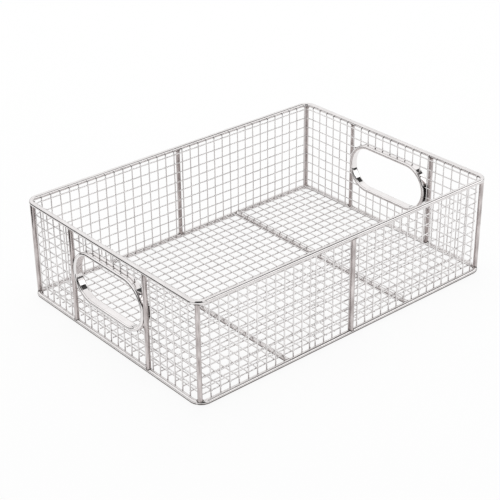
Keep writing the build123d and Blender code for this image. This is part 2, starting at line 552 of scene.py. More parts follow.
class SteelSkin:
    """The shader group of drawn and electropolished steel, shared by every finish."""

    NAME = "Electropolished steel skin"
    COLOURS = ("Bright", "Dull")
    NUMBERS = (
        ("Grain Length", 60.0),
        ("Grain Width", 2600.0),
        ("Cloud Scale", 55.0),
        ("Cloud Amount", 0.5),
        ("Grain Amount", 0.4),
        ("Smooth", 0.1),
        ("Rough", 0.25),
    )
    RESULTS = (
        ("Colour", "NodeSocketColor"),
        ("Roughness", "NodeSocketFloat"),
        ("Height", "NodeSocketFloat"),
    )
    GRAIN = {"Scale": 1.0, "Detail": 4.0, "Roughness": 0.6}
    CLOUD_DETAIL = 3.0
    FLECKS = {"Scale": 900.0, "Detail": 2.0}
    FLECK_RANGE = {"From Min": 0.62, "From Max": 0.78, "To Max": 0.35}
    NOISE_RANGE = {"From Min": 0.35, "From Max": 0.68}

    @classmethod
    def group(cls) -> bpy.types.NodeTree:
        """The group, built the first time it is asked for."""
        return bpy.data.node_groups.get(cls.NAME) or cls._build()

    @classmethod
    def _build(cls) -> bpy.types.NodeTree:
        """Builds the group.

        Returns:
            A group that puts out a colour, a roughness and a height over the surface.
        """
        tree = cls._empty()
        given = tree.nodes.new("NodeGroupInput").outputs
        result = tree.nodes.new("NodeGroupOutput").inputs
        along = add_node(tree, "UVMap", {}, uv_map="Grain").outputs["UV"]
        spot = add_node(tree, "TexCoord", {}).outputs["Object"]
        stretch = add_node(tree, "CombineXYZ", {0: given["Grain Length"], 1: given["Grain Width"]})
        lines = add_node(
            tree, "VectorMath", {0: along, 1: stretch.outputs[0]}, operation="MULTIPLY"
        )
        grain = cls._noise(tree, {"Vector": lines.outputs[0], **cls.GRAIN})
        cloud = cls._noise(
            tree, {"Vector": spot, "Scale": given["Cloud Scale"], "Detail": cls.CLOUD_DETAIL}
        )
        fleck = cls._noise(tree, {"Vector": spot, **cls.FLECKS})
        clouds = combine(tree, "MULTIPLY", cls._open(tree, cloud), given["Cloud Amount"])
        grains = combine(tree, "MULTIPLY", cls._open(tree, grain), given["Grain Amount"])
        flecks = add_node(tree, "MapRange", {"Value": fleck, **cls.FLECK_RANGE})
        both = combine(tree, "ADD", clouds, grains)
        dull = combine(tree, "ADD", both, flecks.outputs["Result"])
        dull.node.use_clamp = True
        colours = {"Factor": dull, "A": given["Bright"], "B": given["Dull"]}
        tint = add_node(tree, "Mix", colours, data_type="RGBA")
        sheen = add_node(tree, "Mix", {"Factor": dull, "A": given["Smooth"], "B": given["Rough"]})
        tree.links.new(tint.outputs["Result"], result["Colour"])
        tree.links.new(sheen.outputs["Result"], result["Roughness"])
        tree.links.new(grain, result["Height"])
        return tree

    @classmethod
    def _empty(cls) -> bpy.types.NodeTree:
        """Makes the group with its sockets only.

        Returns:
            The group, with no nodes in it.
        """
        tree = bpy.data.node_groups.new(cls.NAME, "ShaderNodeTree")
        face = tree.interface
        for name in cls.COLOURS:
            face.new_socket(name=name, in_out="INPUT", socket_type="NodeSocketColor")
        for name, value in cls.NUMBERS:
            socket = face.new_socket(name=name, in_out="INPUT", socket_type="NodeSocketFloat")
            socket.default_value = value
        for name, kind in cls.RESULTS:
            face.new_socket(name=name, in_out="OUTPUT", socket_type=kind)
        return tree

    @staticmethod
    def _noise(
        tree: bpy.types.NodeTree, inputs: dict[str, bpy.types.NodeSocket | float]
    ) -> bpy.types.NodeSocket:
        """A noise with the given inputs."""
        return add_node(tree, "TexNoise", inputs).outputs["Fac"]

    @classmethod
    def _open(
        cls, tree: bpy.types.NodeTree, noise: bpy.types.NodeSocket
    ) -> bpy.types.NodeSocket:
        """Opens a noise out to the range 0 to 1."""
        return add_node(tree, "MapRange", {"Value": noise, **cls.NOISE_RANGE}).outputs["Result"]


@dataclass(frozen=True)
class SteelFinish:
    """A finish of polished stainless steel, with grain along the wire or bar."""

    name: str
    bright: Triple
    dull: Triple
    smooth: float
    rough: float
    grain_width: float
    grain_amount: float
    cloud_amount: float
    bump: float
    bump_height: float = 0.02 * MM

    def build(self) -> bpy.types.Material:
        """Makes the material from the shared skin group.

        Returns:
            The material, with the skin's colour, roughness and relief.
        """
        material = bpy.data.materials.new(self.name)
        material.use_nodes = True
        nodes, links = material.node_tree.nodes, material.node_tree.links
        shader = nodes["Principled BSDF"]
        skin = nodes.new("ShaderNodeGroup")
        skin.node_tree = SteelSkin.group()
        values = {
            "Bright": (*self.bright, 1.0),
            "Dull": (*self.dull, 1.0),
            "Grain Width": self.grain_width,
            "Grain Amount": self.grain_amount,
            "Cloud Amount": self.cloud_amount,
            "Smooth": self.smooth,
            "Rough": self.rough,
        }
        for name, value in values.items():
            skin.inputs[name].default_value = value
        relief = {
            "Strength": self.bump,
            "Distance": self.bump_height,
            "Height": skin.outputs["Height"],
        }
        bump = add_node(material.node_tree, "Bump", relief)
        links.new(skin.outputs["Colour"], shader.inputs["Base Color"])
        links.new(skin.outputs["Roughness"], shader.inputs["Roughness"])
        links.new(bump.outputs["Normal"], shader.inputs["Normal"])
        shader.inputs["Metallic"].default_value = 1.0
        return material


class Finish(Enum):
    """The basket's finishes."""

    ROD = SteelFinish(
        "Electropolished rim rod", bright=(0.84, 0.815, 0.81), dull=(0.60, 0.575, 0.57),
        smooth=0.07, rough=0.18, grain_width=2600.0, grain_amount=0.30, cloud_amount=0.30, bump=0.20,
    )
    # Same steel as the rim rods: the darker tones are painted shade for the darker floor that the
    # posts reflect, and the strong grain is partly drawing marks, partly painted shade for their dark
    # middle stripe.
    POST = SteelFinish(
        "Drawn post rod with painted shade", bright=(0.72, 0.67, 0.66), dull=(0.32, 0.28, 0.275),
        smooth=0.10, rough=0.24, grain_width=420.0, grain_amount=0.80, cloud_amount=0.20, bump=0.30,
    )
    GRIP = SteelFinish(
        "Polished grip bar", bright=(0.88, 0.855, 0.85), dull=(0.68, 0.65, 0.645),
        smooth=0.035, rough=0.11, grain_width=2200.0, grain_amount=0.25, cloud_amount=0.30, bump=0.10,
    )
    WIRE = SteelFinish(
        "Electropolished mesh wire", bright=(0.90, 0.885, 0.88), dull=(0.66, 0.64, 0.64),
        smooth=0.10, rough=0.26, grain_width=3600.0, grain_amount=0.30, cloud_amount=0.35, bump=0.20,
    )
    WELD = SteelFinish(
        "Brushed-back weld", bright=(0.30, 0.275, 0.265), dull=(0.07, 0.06, 0.055),
        smooth=0.22, rough=0.42, grain_width=1500.0, grain_amount=0.45, cloud_amount=0.60, bump=0.60,
    )
    SPOT = SteelFinish(
        "Spot-welded crossing", bright=(0.60, 0.575, 0.57), dull=(0.32, 0.295, 0.29),
        smooth=0.18, rough=0.36, grain_width=1500.0, grain_amount=0.40, cloud_amount=0.60, bump=0.60,
    )

    def material(self) -> bpy.types.Material:
        """The finish's material, built the first time it is asked for."""
        return bpy.data.materials.get(self.value.name) or self.value.build()


def place(piece: bpy.types.Object, slot: Slot, *nodes: str) -> bpy.types.Object:
    """Ties a piece to the frame.

    Args:
        piece: The piece, in its place.
        slot: Not used.
        nodes: CAD nodes that it stands for.

    Returns:
        The piece.
    """
    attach(piece, BODY)
    if nodes:
        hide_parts(*nodes)
    LOG.info("%s: %d faces", piece.name, len(piece.data.polygons))
    return piece


@dataclass
class BandLine:
    """The line that the mesh band follows round the basket, from the seam to the right."""

    sizes: BasketSizes

    def at(self, distance: np.ndarray, inset: np.ndarray) -> tuple[np.ndarray, np.ndarray]:
        """Places along the band.

        Args:
            distance: Distances along the band's middle from the first upright.
            inset: How far in from the rims' centre line each place lies.

        Returns:
            Points on the ground plan and the ways out of the basket, as rows of x, y, 0.
        """
        size = self.sizes
        distance = np.atleast_1d(np.asarray(distance, float))
        inset = np.broadcast_to(np.asarray(inset, float), distance.shape)
        left = distance + size.seam_position + size.straight_x
        points = np.zeros((len(distance), 3))
        out = np.zeros((len(distance), 3))
        open_ones = np.ones(len(distance), bool)
        radius = size.rim_corner - inset
        for quarter in range(2 * WALLS):
            long_wall = quarter % 2 == 0
            half_run = size.straight_x if long_wall else size.straight_y
            half_across = size.straight_y if long_wall else size.straight_x
            on_run = open_ones & (left <= 2 * half_run)
            spot = np.stack([left - half_run, -half_across - radius], axis=1)
            self._put(points, out, on_run, quarter, spot, np.array([0.0, -1.0]))
            open_ones &= ~on_run
            left = left - 2 * half_run
            on_bend = open_ones & (left <= size.band_bend_length)
            angle = left / size.band_bend
            way = np.stack([np.sin(angle), -np.cos(angle)], axis=1)
            spot = np.array([half_run, -half_across]) + radius[:, None] * way
            self._put(points, out, on_bend, quarter, spot, way)
            open_ones &= ~on_bend
            left = left - size.band_bend_length
        return points, out

    @staticmethod
    def _put(
        points: np.ndarray,
        out: np.ndarray,
        chosen: np.ndarray,
        quarter: int,
        spot: np.ndarray,
        way: np.ndarray,
    ) -> None:
        """Turns places of the front wall to the wall that they lie on.

        Args:
            points: Points that are filled in.
            out: Ways out that are filled in.
            chosen: Which places lie on this wall.
            quarter: Quarter turns from the front wall.
            spot: The places, as on the front wall.
            way: Their ways out, as on the front wall.
        """
        cos, sin = ((1, 0), (0, 1), (-1, 0), (0, -1))[quarter % WALLS]
        turned = np.array([[cos, -sin], [sin, cos]], float)
        points[chosen, :2] = (spot @ turned.T)[chosen]
        out[chosen, :2] = np.broadcast_to(way @ turned.T, (len(points), 2))[chosen]


@dataclass
class Rims:
    """The two rims: round rod bent round four corners."""

    sizes: BasketSizes
    sides: int = 24
    bend_steps: int = 24
    run_steps: int = 24

    def line(self, level: float) -> np.ndarray:
        """The rim's centre line.

        Args:
            level: Height of the line.

        Returns:
            Points round the rim.
        """
        size = self.sizes
        points = []
        for quarter, (sx, sy) in enumerate(((1, -1), (1, 1), (-1, 1), (-1, -1))):
            for step in range(self.bend_steps + 1):
                angle = (quarter - 1 + step / self.bend_steps) * math.pi / 2
                x = sx * size.straight_x + size.rim_corner * math.cos(angle)
                y = sy * size.straight_y + size.rim_corner * math.sin(angle)
                points.append((x, y, level))
            points += self._run(points[-1], quarter, level)
        return np.array(points)

    def _run(
        self, start: Triple, quarter: int, level: float
    ) -> list[Triple]:
        """Points along one straight side, some centimetres apart.

        Args:
            start: Where the side starts.
            quarter: Number of the side.
            level: Height of the line.

        Returns:
            Points between the two bends.
        """
        size = self.sizes
        way_x, way_y = ((0, 1), (-1, 0), (0, -1), (1, 0))[quarter]
        run = 2 * (size.straight_y if quarter % 2 == 0 else size.straight_x)
        reaches = [run * step / self.run_steps for step in range(1, self.run_steps)]
        return [(start[0] + way_x * reach, start[1] + way_y * reach, level) for reach in reaches]

    def build(self) -> None:
        """Makes both rims."""
        size = self.sizes
        for name, level in (("bottom_rim", size.bottom_z), ("top_rim", size.top_z)):
            mesh = SweptMesh(f"{name}_rod")
            section = round_section(size.rim_radius, self.sides)
            mesh.sweep(self.line(level), (0, 0, 1), section, closed=True)
            place(mesh.make(Finish.ROD.material()), Slot.ROD, name)


@dataclass
class Struts:
    """Posts and floor bars, with weld fillets where they meet the rims."""

    sizes: BasketSizes
    sides: int = 24
    fillet: float = 0.0011
    fillet_rises: tuple[float, ...] = (0.0, 0.08, 0.2, 0.4, 0.65, 1.0, 1.5, 4.0)  # of its height
    welded_spans: int = 4
    flare_power: float = 1.5
    sink: float = 0.04 * MM  # of the fillet's foot into the rim

    def strut(
        self,
        start: Vector,
        end: Vector,
        rim_way: Vector,
        name: str,
        finish: Finish = Finish.POST,
    ) -> None:
        """Makes one post or floor bar.

        Args:
            start: Where its line meets the first rim's centre line.
            end: Where it meets the other rim's.
            rim_way: Direction of the rims there.
            name: The CAD node that it stands for.
            finish: Finish of its rod.
        """
        size = self.sizes
        along = (end - start).normalized()
        reach = (end - start).length
        first = np.array(rim_way.normalized())
        second = np.array(along.cross(rim_way.normalized()))
        axis = np.array(along)
        angle = np.arange(self.sides) * TURN / self.sides
        rises = np.array(self.fillet_rises) * self.fillet
        rows, middle = [], []
        for rise in rises:
            rows.append(self._ring(angle, rise, first, second, axis, np.array(start)))
            middle.append(np.array(start) + axis * (size.rim_radius + rise))
        for rise in rises[::-1]:
            rows.append(self._ring(angle, rise, first, second, -axis, np.array(end)))
            middle.append(np.array(start) + axis * (reach - size.rim_radius - rise))
        mesh = SweptMesh(f"{name}_rod")
        section = round_section(size.post_radius, self.sides)
        mesh.add_rows(np.array(rows), np.array(middle), section, self.welded_spans)
        piece = mesh.make(finish.material(), Finish.WELD.material())
        place(piece, Slot.ROD, name)

    def _ring(
        self,
        angle: np.ndarray,
        rise: float,
        first: np.ndarray,
        second: np.ndarray,
        axis: np.ndarray,
        foot: np.ndarray,
    ) -> np.ndarray:
        """One ring of a strut, saddled over the rim and flared near it.

        Args:
            angle: Angles of the ring's points.
            rise: Height of the ring over the rim's surface.
            first: Direction of the rim.
            second: Direction square to the rim and the strut.
            axis: Direction from the rim into the strut.
            foot: Where the strut's line meets the rim's.

        Returns:
            The ring's points.
        """
        size = self.sizes
        flare = self.fillet * np.abs(np.cos(angle)) ** self.flare_power
        share = np.clip(1 - rise / self.fillet, 0.0, 1.0)
        radius = size.post_radius + flare * share**2
        off = np.abs(radius * np.sin(angle))
        seat = np.sqrt(np.maximum(size.rim_radius**2 - off**2, 0.0)) - self.sink
        return (
            foot
            + (radius * np.cos(angle))[:, None] * first
            + (radius * np.sin(angle))[:, None] * second
            + (seat + rise)[:, None] * axis
        )

    def build(self) -> None:
        """Makes the ten posts and the two floor bars."""
        size = self.sizes
        reach = size.rim_corner / math.sqrt(2)
        for side_name, side in SIDES:
            y = side * size.rim_y
            self._post(0.0, y, Vector((1, 0, 0)), f"side_post_{side_name}")
            for end_name, end in ENDS:
                x = end * (size.straight_x + reach)
                corner_y = side * (size.straight_y + reach)
                way = Vector((-end * side, 1, 0))
                self._post(x, corner_y, way, f"corner_post_{side_name}_{end_name}")
                x, grip_y = end * size.rim_x, side * size.grip_post_y
                self._post(x, grip_y, Vector((0, 1, 0)), f"grip_post_{end_name}_{side_name}")
        for end_name, end in ENDS:
            x = end * size.floor_bar_offset
            start = Vector((x, -size.rim_y, size.bottom_z))
            end_spot = Vector((x, size.rim_y, size.bottom_z))
            way = Vector((1, 0, 0))
            self.strut(start, end_spot, way, f"floor_bar_{end_name}", Finish.ROD)

    def _post(self, x: float, y: float, rim_way: Vector, name: str) -> None:
        """Makes one upright post between the rims."""
        start = Vector((x, y, self.sizes.bottom_z))
        self.strut(start, Vector((x, y, self.sizes.top_z)), rim_way, name)


@dataclass(frozen=True)
class PaintedFlankShade:
    """Painted shade: a near-black band on a ring's flank beside its posts, standing in for the dark
    reflection of the shaded gap between ring and post.
    """

    flank: Pair
    inner_lip: Pair
    outer_lip: Pair
    # near black, the colour of the painted shade
    colour: Triple = (0.03, 0.026, 0.026)
    node_name: str = "Painted flank shade"

    def add(self, material: bpy.types.Material) -> None:
        """Lays the painted shade over a ring's finish.

        Args:
            material: The finish, which is given the painted shade once.
        """
        tree = material.node_tree
        if self.node_name in tree.nodes:
            return
        shader = tree.nodes["Principled BSDF"]
        skin = shader.inputs["Base Color"].links[0].from_socket
        spot = object_place(tree)
        total = self._ramp(tree, spot["Y"], self.flank)
        for ends in (self.inner_lip, self.outer_lip):
            total = combine(tree, "MULTIPLY", total, self._ramp(tree, spot["X"], ends))
        # painted shade: the finish goes near black where the three ramps meet
        colours = {"Factor": total, "A": skin, "B": (*self.colour, 1.0)}
        mix = add_node(tree, "Mix", colours, data_type="RGBA", name=self.node_name)
        tree.links.new(mix.outputs["Result"], shader.inputs["Base Color"])

    @staticmethod
    def _ramp(
        tree: bpy.types.NodeTree, place_on: bpy.types.NodeSocket, ends: Pair
    ) -> bpy.types.NodeSocket:
        """A ramp over the distance from the basket's middle.

        Args:
            tree: Tree of the material.
            place_on: The coordinate that it runs over.
            ends: Distances at which it is 0 and 1.

        Returns:
            The ramp.
        """
        away = add_node(tree, "Math", {0: place_on}, operation="ABSOLUTE").outputs[0]
        low, high = sorted(ends)
        limits = {"From Min": low, "From Max": high}
        tones = {"To Min": float(ends[0] > ends[1]), "To Max": float(ends[0] < ends[1])}
        return add_node(tree, "MapRange", {"Value": away, **limits, **tones}).outputs["Result"]


@dataclass
class GripRings:
    """The long rings let into the end walls: bar bent round and welded at its lower run."""

    sizes: BasketSizes
    edge: float = 0.00192
    thickness_gap: float = 0.06 * MM  # kept free inside the solid ring
    depth_gap: float = 0.08 * MM
    bend_steps: int = 48
    lower_steps: tuple[int, int] = (12, 8)  # before and after the joint
    upper_steps: int = 20
    joint_y: float = 0.008
    joint_points: tuple[float, ...] = (-0.5, -0.25, -0.12, 0.0, 0.12, 0.25, 0.5)  # millimetres
    groove_half: float = 0.05 * MM
    groove_scale: float = 0.94
    lip_off: float = 0.25 * MM
    lip_half: float = 0.02 * MM
    lip_scale: float = 1.008
    # Bounds of the painted shade on the rings' flanks beside the posts.
    shade_flank: Pair = (2.1 * MM, 1.3 * MM)  # in from the ring's round ends
    shade_inner_lip: Pair = (0.6 * MM, 1.4 * MM)  # out from its inner lip
    shade_outer_lip: Pair = (0.9 * MM, 1.7 * MM)  # in from its outer lip
    bead_size: Triple = (0.55 * MM, 0.8 * MM, 5.0 * MM)
    bead_spread: float = 1.15 * MM
    bead_off: float = 0.25 * MM

    def line(self, end: int) -> np.ndarray:
        """Centre line of one ring.

        Args:
            end: -1 for the left end, 1 for the right.

        Returns:
            Points round the ring, from the lower run.
        """
        size = self.sizes
        x = end * (size.length / 2 - size.grip_depth / 2)
        radius = (size.grip_height - size.grip_thickness) / 2
        half = size.grip_straight
        near = np.array(self.joint_points) * MM + self.joint_y
        before, after = self.lower_steps
        lower = np.concatenate([
            np.linspace(-half, near[0], before), near[1:], np.linspace(near[-1], half, after)[1:]
        ])
        points = [(y, -radius) for y in lower]
        turns = np.linspace(-0.5, 0.5, self.bend_steps + 1)[1:] * math.pi
        points += [(half + radius * math.cos(t), radius * math.sin(t)) for t in turns]
        points += [(y, radius) for y in np.linspace(half, -half, self.upper_steps)[1:]]
        turns = np.linspace(0.5, 1.5, self.bend_steps + 1)[1:-1] * math.pi
        points += [(-half + radius * math.cos(t), radius * math.sin(t)) for t in turns]
        return np.array([(x, y, size.grip_centre + z) for y, z in points])

    def build(self) -> None:
        """Makes both rings and the weld beads that hold them to their posts."""
        size = self.sizes
        section = bar_section(
            size.grip_thickness - self.thickness_gap, size.grip_depth - self.depth_gap, self.edge
        )
        side, outer_lip = size.grip_length / 2, size.length / 2
        inner_lip = outer_lip - size.grip_depth
        # painted shade on the flanks beside the posts, standing in for the shaded gap that they
        # reflect
        tint = PaintedFlankShade(
            flank=(side - self.shade_flank[0], side - self.shade_flank[1]),
            inner_lip=(inner_lip + self.shade_inner_lip[0], inner_lip + self.shade_inner_lip[1]),
            outer_lip=(outer_lip - self.shade_outer_lip[0], outer_lip - self.shade_outer_lip[1]),
        )
        tint.add(Finish.GRIP.material())
        for end_name, end in ENDS:
            path = self.line(end)
            scale = self._joint_scale(path)
            mesh = SweptMesh(f"grip_ring_{end_name}_bar")
            mesh.sweep(path, (1, 0, 0), section, closed=True, scale=scale)
            piece = mesh.make(Finish.GRIP.material())
            place(piece, Slot.GRIP, f"grip_ring_{end_name}")
        self._beads()

    def _joint_scale(self, path: np.ndarray) -> np.ndarray:
        """How the bar's section changes at its butt joint: a groove between two lips.

        Args:
            path: The ring's centre line.

        Returns:
            The size of the section at each point, against the plain bar.
        """
        size = self.sizes
        lower = path[:, 2] < size.grip_centre - size.grip_height / 2 + size.grip_thickness
        gap = np.abs(path[:, 1] - self.joint_y)
        groove = np.where(lower & (gap < self.groove_half), self.groove_scale, 1.0)
        on_lip = lower & (np.abs(gap - self.lip_off) < self.lip_half)
        return groove * np.where(on_lip, self.lip_scale, 1.0)

    def _beads(self) -> None:
        """Makes the beads between the rings' round ends and the grip posts."""
        size = self.sizes
        mesh = SweptMesh("grip_post_welds")
        x_rod = size.length / 2 - size.rim_radius
        y_bead = size.grip_length / 2 + self.bead_off
        for end, side, off in product((-1, 1), repeat=3):
            x = end * x_rod + off * self.bead_spread
            spot = np.array([x, side * y_bead, size.grip_centre])
            mesh.blob(spot, self.bead_size, np.array([end, 0.0, 0.0]))
        place(mesh.make(Finish.WELD.material()), Slot.GRIP)


@dataclass(frozen=True)
class WireSway:
    """The small sideways wander of a wire that was straightened off a coil."""

    reach: float = 0.00014
    wave: float = 0.047
    slow_stretch: float = 2.7
    phase_step: float = 2.4  # radians, from one wire to the next
    quick_phase: float = 1.7
    shares: Pair = (0.7, 0.3)  # of the slow and the quick wave

    def at(self, along: np.ndarray, number: int) -> np.ndarray:
        """How far a wire wanders sideways.

        Args:
            along: Distance along the wire.
            number: Number of the wire, which sets where its waves lie.

        Returns:
            The wander at each place.
        """
        phase = self.phase_step * number
        slow = np.sin(TURN * along / (self.slow_stretch * self.wave) + phase)
        quick = np.sin(TURN * along / self.wave + self.quick_phase * phase)
        return self.reach * (self.shares[0] * slow + self.shares[1] * quick)


@dataclass
class WallBand:
    """The mesh band of the walls: uprights and hoops welded where they cross, and lapped."""

    sizes: BasketSizes
    sides: int = 12
    step: float = 0.0022
    end_edge: float = 0.00015
    least_stations: int = 4
    held_length: float = 6 * MM  # beside each end of an upright, where it hardly wanders
    spot_size: Triple = (0.32 * MM, 0.62 * MM, 0.62 * MM)
    rim_weld_size: Triple = (0.5 * MM, 1.0 * MM, 0.8 * MM)
    rim_weld_out: float = 0.35 * MM
    ring_weld_size: Triple = (0.8 * MM, 0.85 * MM, 0.55 * MM)

    def __post_init__(self) -> None:
        """Lays out the band's line."""
        self.band = BandLine(self.sizes)
        self.sway = WireSway()
        self.ring_welds: list[tuple[np.ndarray, np.ndarray]] = []
        self.rim_welds: list[tuple[np.ndarray, np.ndarray, bool]] = []

    def _hoop_inset(self, distance: np.ndarray) -> np.ndarray:
        """How far in the hoops lie, with the joggle to their tails.

        Args:
            distance: Distances along the band.

        Returns:
            The inset at each.
        """
        size = self.sizes
        middle = (size.upright_steps - 0.5) * size.upright_pitch
        half = size.joggle_length / 2
        lapped = smooth_step(middle - half, middle + half, distance)
        return size.hoop_inset + lapped * (size.lap_inset - size.hoop_inset)

    def _upright(self, mesh: SweptMesh, number: int) -> None:
        """Adds one upright, in two lengths where a grip ring parts it.

        Args:
            mesh: The wall's mesh.
            number: Number of the upright from the seam.
        """
        size = self.sizes
        lapped = number == size.upright_steps
        inset = size.hoop_inset if lapped else size.upright_inset
        plan, out = self.band.at(np.array([number * size.upright_pitch]), inset)
        plan, out = plan[0], out[0]
        x, y = plan[:2]
        foot = size.bottom_z - size.upright_overlap
        over_bar = abs(abs(x) - size.floor_bar_offset) < size.post_radius + size.wire_reach
        if over_bar and abs(y) > size.straight_y:
            foot = size.floor_bar_top
        else:
            self.rim_welds.append((plan, out, False))
        self.rim_welds.append((plan, out, True))
        head = size.top_z + size.upright_overlap
        spans = [(foot, head)]
        cut = size.grip_half_height(y) if abs(x) > size.straight_x else 0.0
        if cut:
            spans = [(foot, size.grip_centre - cut), (size.grip_centre + cut, head)]
            for level in (size.grip_centre - cut, size.grip_centre + cut):
                self.ring_welds.append((plan + (0, 0, level), out))
        side = np.cross(UP, out)
        section = round_section(size.wire_radius, self.sides)
        for low, high in spans:
            stations = max(self.least_stations, round((high - low) / self.step / 2))
            rise = np.linspace(low, high, stations)
            leave = smooth_step(low, low + self.held_length, rise)
            reach = 1 - smooth_step(high - self.held_length, high, rise)
            path = plan + (self.sway.at(rise, number) * leave * reach)[:, None] * side
            path[:, 2] = rise
            mesh.sweep(path, tuple(np.cross(out, UP)), section, end_edge=self.end_edge)

    def uprights(self) -> None:
        """Makes the uprights, a piece for each wall."""
        size = self.sizes
        meshes = {name: SweptMesh(f"{name}_wires") for name in self._walls()}
        for number in range(size.upright_steps + 1):
            name = self._wall_of(number * size.upright_pitch)
            self._upright(meshes[name], number)
        for name, mesh in meshes.items():
            place(mesh.make(Finish.WIRE.material()), Slot.MESH, name)

    @staticmethod
    def _walls() -> tuple[str, ...]:
        """Names of the four walls' uprights, in the band's order."""
        return ("uprights_front", "uprights_right", "uprights_back", "uprights_left")

    def _wall_of(self, distance: float) -> str:
        """The wall that an upright belongs to.

        Args:
            distance: Distance along the band.

        Returns:
            The name of that wall's uprights.
        """
        size = self.sizes
        left = distance + size.seam_position + size.straight_x
        for quarter in range(2 * WALLS):
            straight = size.straight_x if quarter % 2 == 0 else size.straight_y
            run = 2 * straight + size.band_bend_length
            if left <= run:
                return self._walls()[quarter % WALLS]
            left -= run
        raise ValueError("the band is shorter than this distance")

    def _hoop_spans(self, level: float) -> list[tuple[float, float]]:
        """Where a hoop runs, as distances along the band.

        Args:
            level: Height of the hoop.

        Returns:
            One span, or three where the grip rings part the hoop.
        """
        size = self.sizes
        start = -size.front_tail
        finish = size.upright_steps * size.upright_pitch + size.back_tail
        cut = size.grip_half_width(level)
        if not cut:
            return [(start, finish)]
        bend = size.band_bend_length
        right = size.straight_x - size.seam_position + bend + size.straight_y
        left = right + 2 * size.straight_x + 2 * bend + 2 * size.straight_y
        return [(start, right - cut), (right + cut, left - cut), (left + cut, finish)]

    def _hoop(self, number: int) -> None:
        """Makes one hoop.

        Args:
            number: Number of the hoop, from 0 at the lowest.
        """
        size = self.sizes
        level = size.hoop_level(number)
        mesh = SweptMesh(f"hoop_{number + 1}_wire")
        last = size.upright_steps * size.upright_pitch
        for start, finish in self._hoop_spans(level):
            distance = np.linspace(start, finish, round((finish - start) / self.step) + 1)
            points, ways = self.band.at(distance, self._hoop_inset(distance))
            points[:, 2] = level + self.sway.at(distance, number)
            for place_on, near in ((start, 0), (finish, -1)):
                if 0 < place_on < last:
                    self.ring_welds.append((points[near].copy(), ways[near].copy()))
            section = round_section(size.wire_radius, self.sides)
            mesh.sweep(points, (0, 0, 1), section, end_edge=self.end_edge)
        place(mesh.make(Finish.WIRE.material()), Slot.MESH, f"hoop_{number + 1}")

    def hoops(self) -> None:
        """Makes the hoops."""
        for number in range(self.sizes.hoop_count):
            self._hoop(number)

    def crossings(self) -> None:
        """Makes the small spot welds where hoops cross uprights."""
        size = self.sizes
        mesh = SweptMesh("wall_mesh_welds")
        for number in range(size.upright_steps + 1):
            lapped = number == size.upright_steps
            inset = size.band_inset + 2 * size.wire_radius * lapped
            plan, out = self.band.at(np.array([number * size.upright_pitch]), inset)
            on_end = abs(plan[0][0]) > size.straight_x
            for hoop in range(size.hoop_count):
                level = size.hoop_level(hoop)
                if on_end and abs(plan[0][1]) < size.grip_half_width(level) + size.wire_radius:
                    continue
                spot = plan[0] + level * UP
                mesh.blob(spot, self.spot_size, out[0])
        place(mesh.make(Finish.SPOT.material()), Slot.MESH)

    def welds(self) -> None:
        """Makes the welds of the wires to the rims and the grip rings."""
        size = self.sizes
        for name, level, top in (("bottom", size.bottom_z, False), ("top", size.top_z, True)):
            mesh = SweptMesh(f"{name}_rim_welds")
            for plan, out, at_top in self.rim_welds:
                if at_top == top:
                    spot = plan + out * self.rim_weld_out + level * UP
                    mesh.blob(spot, self.rim_weld_size, out)
            place(mesh.make(Finish.WELD.material()), Slot.ROD)
        mesh = SweptMesh("grip_ring_welds")
        for spot, out in self.ring_welds:
            mesh.blob(spot, self.ring_weld_size, out)
        place(mesh.make(Finish.WELD.material()), Slot.GRIP)

    def build(self) -> None:
        """Makes the whole band."""
        self.uprights()
        self.hoops()
        self.crossings()
        self.welds()


